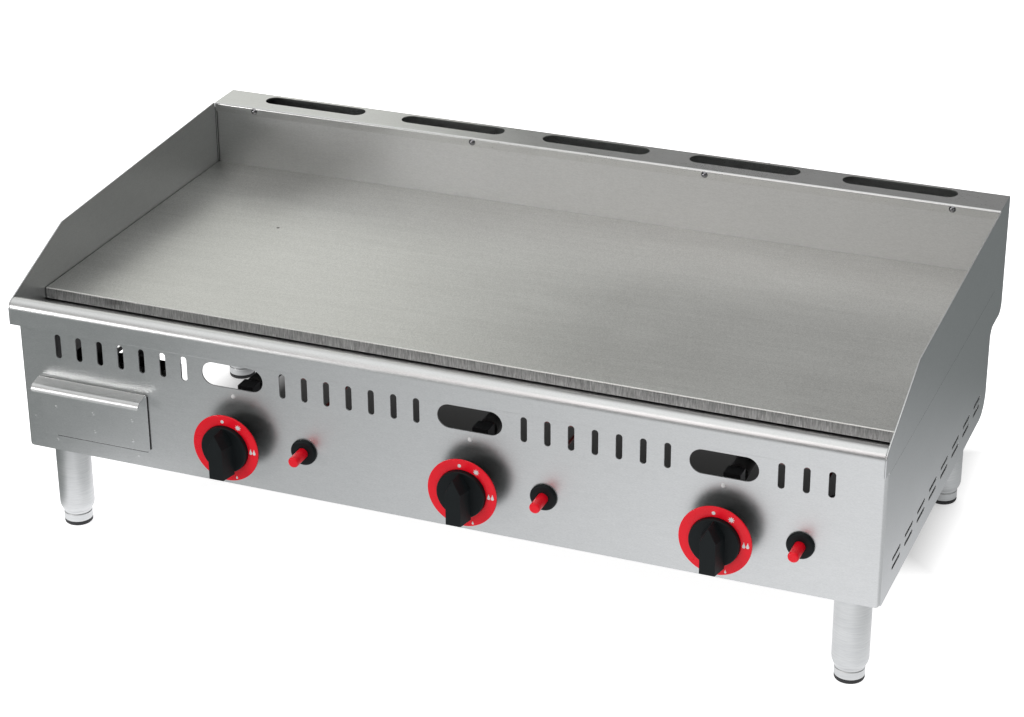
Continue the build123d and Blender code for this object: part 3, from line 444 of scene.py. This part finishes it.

# thin dark strips along the rear and lower edges of the splash guards, on the side panels: painted shade for
# the shadow lines at the guards' edges
SHADE_LINE_SUNK = 0.3 * MM
SHADE_LINE_PROUD = 0.5 * MM
REAR_SHADE_LINE = 2.0 * MM
LOWER_SHADE_LINE = 2.5 * MM
SHADE_LINE_BELOW_TOP = 4.0 * MM
SHADE_LINE_BEHIND_FACE = 6.0 * MM
for side, sign in (("left", -1), ("right", 1)):
    guard_low, guard_high = (Vector(corner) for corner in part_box(side + "_splash_guard"))
    side_low, side_high = (Vector(corner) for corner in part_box(side + "_side_panel"))
    wall = side_high.x if sign > 0 else side_low.x
    x0, x1 = sorted((wall - sign * SHADE_LINE_SUNK, wall + sign * SHADE_LINE_PROUD))
    rear, seam = guard_high.y, guard_low.z
    strips("guard_shade_line_" + side,
           [((x0, rear, seam), (x1, rear + REAR_SHADE_LINE, side_high.z - SHADE_LINE_BELOW_TOP)),
            ((x0, panel_face + SHADE_LINE_BEHIND_FACE, seam - LOWER_SHADE_LINE), (x1, rear, seam))],
           "chassis")

# ---------------------------------------------------------------- stage, lights and camera
GLOW = 0.9
PAPER_LIGHT = 1.70
HORIZON_LIGHT = 0.09
DOME_LIGHT = 1.25
# colours of the glowing sheet that the steel reflects: painted light, dim and bright
DIM_GLOW = (0.13, 0.14, 0.14)
BRIGHT_GLOW = (0.74, 0.74, 0.76)
DARK_SHARE = 0.05         # what the painted shadow area of the paper still gives of its light
FLOOR_HALF = 12.0


def camera_at_photo_angle():
    camera = bpy.data.objects.new("camera", bpy.data.cameras.new("camera"))
    scene.collection.objects.link(camera)
    camera.data.sensor_width = 36.0
    camera.data.lens = 91.6
    right = Vector((0.92750965, 0.37374718, -0.00623699))
    down = Vector((0.15699571, -0.40464232, -0.90089785))
    forward = Vector((-0.33923178, 0.83461227, -0.43398636))
    turn = Matrix((right, -down, -forward)).transposed().to_4x4()
    camera.matrix_world = Matrix.Translation((0.925897, -2.279307, 1.364712)) @ turn
    camera.data.clip_end = 100.0
    scene.camera = camera


def area_light(name, place, target, size, power, color):
    data = bpy.data.lights.new(name, "AREA")
    data.shape = "RECTANGLE"
    data.size, data.size_y = size
    data.energy = power
    data.color = color
    lamp = bpy.data.objects.new(name, data)
    lamp.location = place
    lamp.rotation_mode = "QUATERNION"
    lamp.rotation_quaternion = (Vector(target) - Vector(place)).to_track_quat("-Z", "Y")
    scene.collection.objects.link(lamp)


def floor_sheet():
    """Pale paper. The camera sees it white, with a painted shadow: a dark area under the rear half of the
    body.
    All other rays see a glowing sheet, painted light that the steel reflects, with the same painted shadow,
    graded darker to the left, far to the right and behind, and with a painted glint: a bright patch beside
    the front left leg, which the leg reflects."""
    mesh = bpy.data.meshes.new("floor")
    corners = [(x * FLOOR_HALF, y * FLOOR_HALF, 0.0) for x, y in ((-1, -1), (1, -1), (1, 1), (-1, 1))]
    mesh.from_pydata(corners, [], [(0, 1, 2, 3)])
    floor = bpy.data.objects.new("floor", mesh)
    material, tree, shader = new_material("floor_paper")
    paper = stretched_noise(tree, (3.0, 3.0, 3.0), 2.0)
    shader.inputs["Roughness"].default_value = 0.9
    shader.inputs["Specular IOR Level"].default_value = 0.1
    coordinates = add(tree, "ShaderNodeTexCoord")
    split = add(tree, "ShaderNodeSeparateXYZ")
    tree.links.new(coordinates.outputs["Object"], split.inputs["Vector"])
    x, y = split.outputs["X"], split.outputs["Y"]
    # the mask below is 0 in the dark area, a painted shadow that reaches a little behind the body, and
    # 1 elsewhere
    beside = spread(tree, combine(tree, "ABSOLUTE", x, 0.0), 0.0, 1.0, 0.36, 0.48)
    before = spread(tree, y, 1.0, 0.0, 0.0, 0.12)
    behind = spread(tree, y, 0.0, 1.0, 0.26, 0.34)
    outside_painted_shadow = combine(tree, "MAXIMUM", beside, combine(tree, "MAXIMUM", before, behind))
    white = blend_colors(tree, paper, (0.93, 0.93, 0.93), (0.97, 0.97, 0.97))
    tree.links.new(blend_colors(tree, outside_painted_shadow, (0.12, 0.12, 0.12), white), shader.inputs["Base Color"])
    shader.inputs["Emission Color"].default_value = (1.0, 1.0, 1.0, 1.0)
    tree.links.new(combine(tree, "MULTIPLY", outside_painted_shadow, GLOW), shader.inputs["Emission Strength"])
    shade = add(tree, "ShaderNodeEmission")
    # painted light for the steel to reflect: the glow is graded across the floor, with a painted glint patch
    # beside the front left leg
    rising = spread(tree, x, 0.0, 1.0, -0.85, 0.62)
    past_leg = spread(tree, x, 0.0, 1.0, -0.60, -0.42)
    far_right = spread(tree, x, 1.0, 0.45, 0.44, 0.62)
    across = combine(tree, "MULTIPLY", rising, combine(tree, "MULTIPLY", past_leg, far_right))
    deep = spread(tree, y, 1.0, 0.0, -0.05, 0.5)
    leg_front = spread(tree, y, 0.0, 1.0, -0.38, -0.33)
    leg_right = spread(tree, x, 1.0, 0.0, -0.345, -0.305)
    leg_left = spread(tree, x, 0.0, 1.0, -0.50, -0.46)
    leg_glint_patch = combine(tree, "MULTIPLY", leg_front, combine(tree, "MULTIPLY", leg_right, leg_left))
    glow_level = combine(tree, "MAXIMUM", combine(tree, "MULTIPLY", across, deep), leg_glint_patch)
    tree.links.new(blend_colors(tree, glow_level, DIM_GLOW, BRIGHT_GLOW), shade.inputs["Color"])
    tree.links.new(spread(tree, outside_painted_shadow, DARK_SHARE * PAPER_LIGHT, PAPER_LIGHT, 0.0, 1.0),
                   shade.inputs["Strength"])
    ray = add(tree, "ShaderNodeLightPath")
    mix = add(tree, "ShaderNodeMixShader")
    tree.links.new(ray.outputs["Is Camera Ray"], mix.inputs[0])
    tree.links.new(shade.outputs["Emission"], mix.inputs[1])
    tree.links.new(shader.outputs["BSDF"], mix.inputs[2])
    output = [n for n in tree.nodes if n.type == "OUTPUT_MATERIAL"][0]
    tree.links.new(mix.outputs["Shader"], output.inputs["Surface"])
    mesh.materials.append(material)
    scene.collection.objects.link(floor)


def world_light():
    """Soft dome: dark near the horizon and pale overhead. The camera sees it white."""
    world = bpy.data.worlds.new("studio")
    world.use_nodes = True
    tree = world.node_tree
    background = tree.nodes["Background"]
    background.inputs["Color"].default_value = (1.0, 1.0, 1.0, 1.0)
    direction = add(tree, "ShaderNodeTexCoord")
    split = add(tree, "ShaderNodeSeparateXYZ")
    tree.links.new(direction.outputs["Generated"], split.inputs["Vector"])
    dome = spread(tree, split.outputs["Z"], HORIZON_LIGHT, DOME_LIGHT, 0.50, 0.90)
    seen = add(tree, "ShaderNodeLightPath").outputs["Is Camera Ray"]
    tree.links.new(combine(tree, "MAXIMUM", dome, seen), background.inputs["Strength"])
    scene.world = world


scene.view_settings.view_transform = "Standard"
camera_at_photo_angle()
floor_sheet()
world_light()
area_light("back_left", (-2.57, 2.8, 1.9), (-0.2, 0.0, 0.25), (2.6, 2.2), 16.0, (1.0, 1.0, 0.95))
area_light("back_middle", (-0.35, 3.4, 2.0), (0.0, 0.0, 0.25), (1.6, 1.6), 1.5, (1.0, 0.96, 0.97))
area_light("front_high", (-0.70, -2.9, 2.4), (0.3, 0.0, 0.3), (1.0, 2.2), 15.0, (1.0, 0.93, 0.93))
area_light("front_left", (-2.3, -2.7, 0.70), (0.1, -0.1, 0.15), (0.8, 0.8), 28.0, (1.0, 0.98, 0.98))
